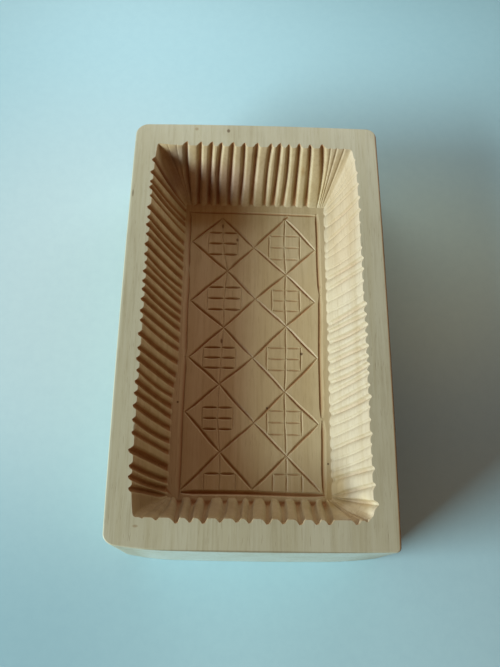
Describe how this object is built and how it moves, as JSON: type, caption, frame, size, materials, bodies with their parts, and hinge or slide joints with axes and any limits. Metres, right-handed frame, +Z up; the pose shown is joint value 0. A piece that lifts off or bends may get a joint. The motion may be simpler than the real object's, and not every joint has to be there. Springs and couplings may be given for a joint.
{
  "type": "butter mould",
  "caption": "Wooden butter mould: a rectangular block with a sloping, gouge-fluted cavity and a floor carved with diamonds and small grids.",
  "frame": {"origin": "middle of the base, on the surface that the block stands on", "axes": "+Z up out of the cavity, Y along the block's length, X across it"},
  "size_m": [0.1, 0.17, 0.041],
  "materials": {
    "pale_wood": "bare pale close-grained hardwood, grain along the length, scraped and carved, unvarnished"
  },
  "bodies": {
    "root": {"mould_block": "pale_wood"}
  },
  "joints": []
}
